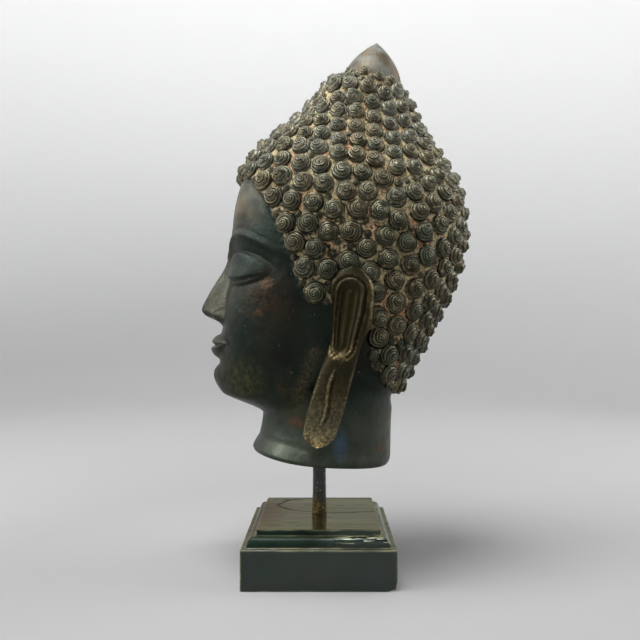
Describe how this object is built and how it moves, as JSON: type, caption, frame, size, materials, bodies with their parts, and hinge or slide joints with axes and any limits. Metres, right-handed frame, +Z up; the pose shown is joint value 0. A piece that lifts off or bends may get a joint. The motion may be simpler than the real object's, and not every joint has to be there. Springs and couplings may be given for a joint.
{
  "type": "bronze buddha head sculpture on stand",
  "caption": "Cast bronze Buddha head with snail-shell curls and long ears, held by a rod on a stepped square wooden plinth.",
  "frame": {"origin": "centre of the plinth's underside", "axes": "+Z up, the face looks along -Y, the figure's left ear is on +X"},
  "size_m": [0.1736, 0.244, 0.4806],
  "materials": {
    "patinated_bronze": "dark brown-green patina on cast bronze, satin, with tan dust between the curls",
    "painted_steel": "worn black paint, rubbed to brown metal at the foot",
    "lacquered_wood": "glossy black-green lacquer with rubbed arrises"
  },
  "bodies": {
    "root": {"head": "patinated_bronze", "rod": "painted_steel", "plinth": "lacquered_wood"}
  },
  "joints": []
}
